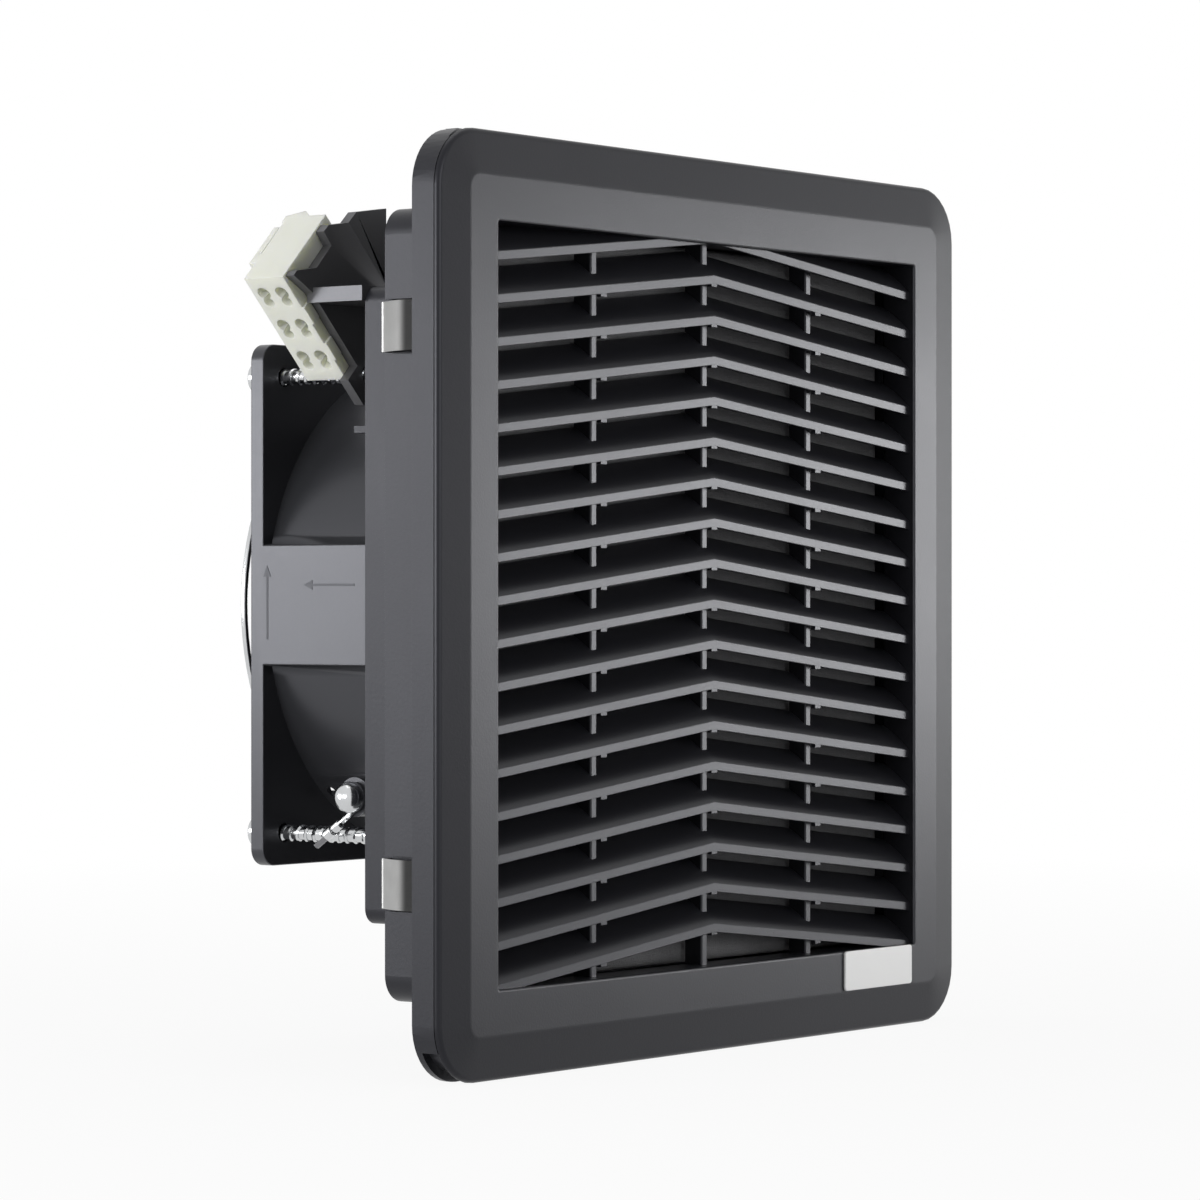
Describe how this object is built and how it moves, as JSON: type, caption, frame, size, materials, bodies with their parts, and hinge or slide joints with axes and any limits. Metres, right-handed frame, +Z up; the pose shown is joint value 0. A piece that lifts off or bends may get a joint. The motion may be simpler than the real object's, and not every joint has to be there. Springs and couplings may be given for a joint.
{
  "type": "cabinet filter fan",
  "caption": "Square filter fan for a cabinet panel: a hinged louvred cover and filter mat in a clip-in frame, with an axial fan, wire guard and terminal block behind.",
  "frame": {"origin": "centre of the flange's rear face, on the outer face of the panel that it seats on", "axes": "+X to the right seen from outside the cabinet, +Y into the cabinet, +Z up"},
  "size_m": [0.204, 0.0965, 0.204],
  "materials": {
    "cover_plastic": "fine texture",
    "plate_white": "satin",
    "frame_plastic": "fine texture",
    "gasket_foam": "matt",
    "filter_fleece": "non-woven",
    "spring_steel": "satin",
    "fan_casting": "matt black",
    "impeller_plastic": "matt",
    "motor_steel": "plain",
    "core_steel": "laminated",
    "winding_copper": "enamelled wire",
    "cage_aluminium": "cast",
    "tube_brass": "turned",
    "bright_zinc": "zinc plated",
    "bracket_plastic": "matt",
    "block_white": "satin",
    "contact_brass": "plain"
  },
  "bodies": {
    "housing": {"base_frame": "frame_plastic", "fan_plenum": "frame_plastic", "panel_gasket": "gasket_foam", "filter_mat": "filter_fleece", "fan_frame": "fan_casting", "bearing_tube": "tube_brass", "ball_bearings": "motor_steel", "stator_core": "core_steel", "stator_coils": "winding_copper", "finger_guard": "bright_zinc", "fan_screws": "bright_zinc", "terminal_bracket": "bracket_plastic", "terminal_block": "block_white", "terminal_contacts": "contact_brass", "earth_lug": "bright_zinc", "earth_washer": "bright_zinc", "earth_screw": "bright_zinc"},
    "cover": {"louvre_cover": "cover_plastic", "name_plate": "plate_white"},
    "rotor": {"impeller": "impeller_plastic", "rotor_cup": "motor_steel", "rotor_cage": "cage_aluminium", "shaft": "motor_steel", "retaining_ring": "motor_steel"},
    "clip_lu": {"clip_left_upper": "spring_steel"},
    "clip_ll": {"clip_left_lower": "spring_steel"},
    "clip_ru": {"clip_right_upper": "spring_steel"},
    "clip_rl": {"clip_right_lower": "spring_steel"}
  },
  "joints": [
    {"name": "cover_hinge", "type": "hinge", "parent": "housing", "child": "cover", "pos_m": [0, -0.0031, 0.0996], "axis": [-1, 0, 0], "range_deg": [0, 90]},
    {"name": "rotor_spin", "type": "hinge", "parent": "housing", "child": "rotor", "pos_m": [0, 0.06, 0], "axis": [0, 1, 0], "continuous": true},
    {"name": "clip_lu_flex", "type": "hinge", "parent": "housing", "child": "clip_lu", "pos_m": [-0.0845, 0.02055, 0.06], "axis": [0, 0, 1], "range_deg": [0, 9], "stiffness_Nm_per_rad": 0.5},
    {"name": "clip_ll_flex", "type": "hinge", "parent": "housing", "child": "clip_ll", "pos_m": [-0.0845, 0.02055, -0.06], "axis": [0, 0, 1], "range_deg": [0, 9], "stiffness_Nm_per_rad": 0.5},
    {"name": "clip_ru_flex", "type": "hinge", "parent": "housing", "child": "clip_ru", "pos_m": [0.0845, 0.02055, 0.06], "axis": [0, 0, -1], "range_deg": [0, 9], "stiffness_Nm_per_rad": 0.5},
    {"name": "clip_rl_flex", "type": "hinge", "parent": "housing", "child": "clip_rl", "pos_m": [0.0845, 0.02055, -0.06], "axis": [0, 0, -1], "range_deg": [0, 9], "stiffness_Nm_per_rad": 0.5}
  ]
}
